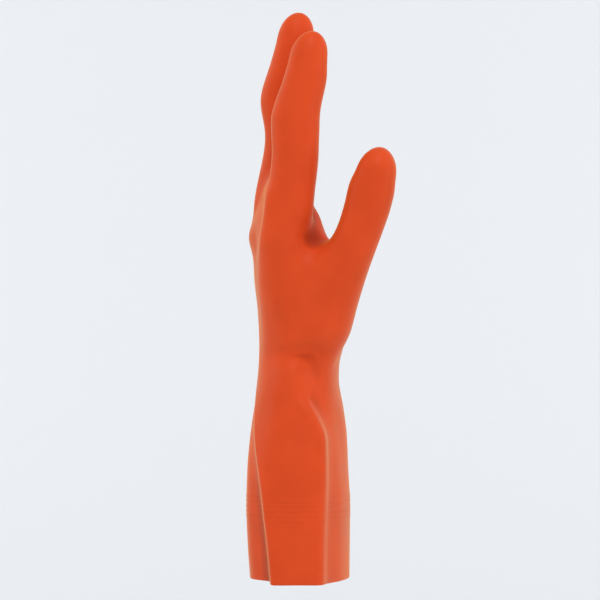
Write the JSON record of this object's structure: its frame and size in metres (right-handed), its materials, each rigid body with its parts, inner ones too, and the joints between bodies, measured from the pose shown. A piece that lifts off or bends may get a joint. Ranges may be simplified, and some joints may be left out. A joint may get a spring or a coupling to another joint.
{
  "type": "chemical-resistant glove",
  "caption": "Left-hand dipped rubber glove with an open gauntlet cuff, a raised rib band, four fingers and a thumb held forward of the palm.",
  "frame": {"origin": "middle of the open cuff mouth, where the forearm goes in", "axes": "+Z from the cuff mouth to the fingertips, +X out of the palm, -Y towards the thumb"},
  "size_m": [0.0837, 0.1065, 0.3184],
  "materials": {
    "orange_rubber": "smooth dipped orange-red rubber, satin to matte"
  },
  "bodies": {
    "root": {"glove_skin": "orange_rubber"}
  },
  "joints": []
}
